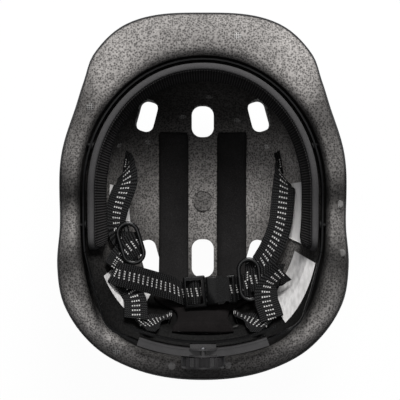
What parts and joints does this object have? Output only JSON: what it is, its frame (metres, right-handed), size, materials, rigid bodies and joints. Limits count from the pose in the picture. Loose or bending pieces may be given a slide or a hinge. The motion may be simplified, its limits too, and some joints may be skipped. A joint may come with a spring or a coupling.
{
  "type": "bicycle helmet",
  "caption": "Small multi-sport helmet lying crown-down, with foam liner, fit pads, dial-driven fit ring, webbing straps and side-release buckle.",
  "frame": {"origin": "centre of the bounding box's foot, where the crown rests, with the helmet lying crown-down and open side up", "axes": "+Z out of the head opening, +Y towards the visor, +X towards the wearer's left side"},
  "size_m": [0.2176, 0.276, 0.1575],
  "materials": {
    "shell": "satin",
    "foam": "beaded matte",
    "pad_foam": "matte",
    "fabric": "ribbed matte",
    "webbing": "woven matte",
    "nylon": "satin",
    "grey_plastic": "satin",
    "gear_plastic": "satin",
    "steel": "plated",
    "paper": "matte"
  },
  "bodies": {
    "helmet": {"outer_shell": "shell", "foam_liner": "foam", "brow_pad_foam": "pad_foam", "brow_pad_fabric": "fabric", "crown_pad_left": "fabric", "crown_pad_right": "fabric", "nape_pad": "fabric", "pad_fasteners": "fabric", "label_left_front": "paper", "label_left_rear": "paper", "label_right_front": "paper", "label_right_rear": "paper", "ring_band": "nylon", "ring_pins": "nylon", "nape_band": "nylon", "housing_cover": "grey_plastic", "housing_back": "grey_plastic", "housing_screws": "steel", "click_spring": "steel", "front_strap_left": "webbing", "front_strap_right": "webbing", "rear_strap_left": "webbing", "rear_strap_right": "webbing", "chin_strap_left": "webbing", "chin_strap_right": "webbing", "slider_left": "nylon", "slider_right": "nylon", "front_anchors": "nylon", "rear_anchors": "nylon", "buckle_socket": "nylon"},
    "dial": {"dial_knob": "grey_plastic", "dial_pinion": "gear_plastic", "dial_screw": "steel"},
    "left_rack": {"rack_left": "nylon"},
    "right_rack": {"rack_right": "nylon"},
    "plug": {"buckle_plug": "nylon"},
    "front_arm": {"plug_arm_front": "nylon"},
    "rear_arm": {"plug_arm_rear": "nylon"}
  },
  "joints": [
    {"name": "dial_turn", "type": "hinge", "parent": "helmet", "child": "dial", "pos_m": [0, -0.1163, 0.141], "axis": [0, 1, 0], "range_deg": [0, 229.18]},
    {"name": "left_rack_slide", "type": "hinge", "parent": "helmet", "child": "left_rack", "pos_m": [0, 0.0237, 0.141], "axis": [0, 0, 1], "range_deg": [0, 8.26]},
    {"name": "right_rack_slide", "type": "hinge", "parent": "helmet", "child": "right_rack", "pos_m": [0, 0.0237, 0.141], "axis": [0, 0, -1], "range_deg": [0, 8.35]},
    {"name": "buckle_release", "type": "slide", "parent": "helmet", "child": "plug", "axis": [-0.9962, -0.0872, 0], "range_m": [0, 0.016], "deforming": ["chin_strap_left", "plug_arm_front", "plug_arm_rear"]},
    {"name": "squeeze_front", "type": "hinge", "parent": "plug", "child": "front_arm", "pos_m": [0.00293, -0.06572, 0.082], "axis": [0, 0, -1], "range_deg": [0, 7], "stiffness_Nm_per_rad": 0.03},
    {"name": "squeeze_rear", "type": "hinge", "parent": "plug", "child": "rear_arm", "pos_m": [0.00426, -0.08087, 0.082], "axis": [0, 0, 1], "range_deg": [0, 7], "stiffness_Nm_per_rad": 0.03}
  ],
  "couplings": [
    {"joint": "left_rack_slide", "follows": "dial_turn", "ratio": 0.036023},
    {"joint": "right_rack_slide", "follows": "dial_turn", "ratio": 0.036443},
    {"joint": "squeeze_rear", "follows": "squeeze_front", "ratio": 1}
  ]
}
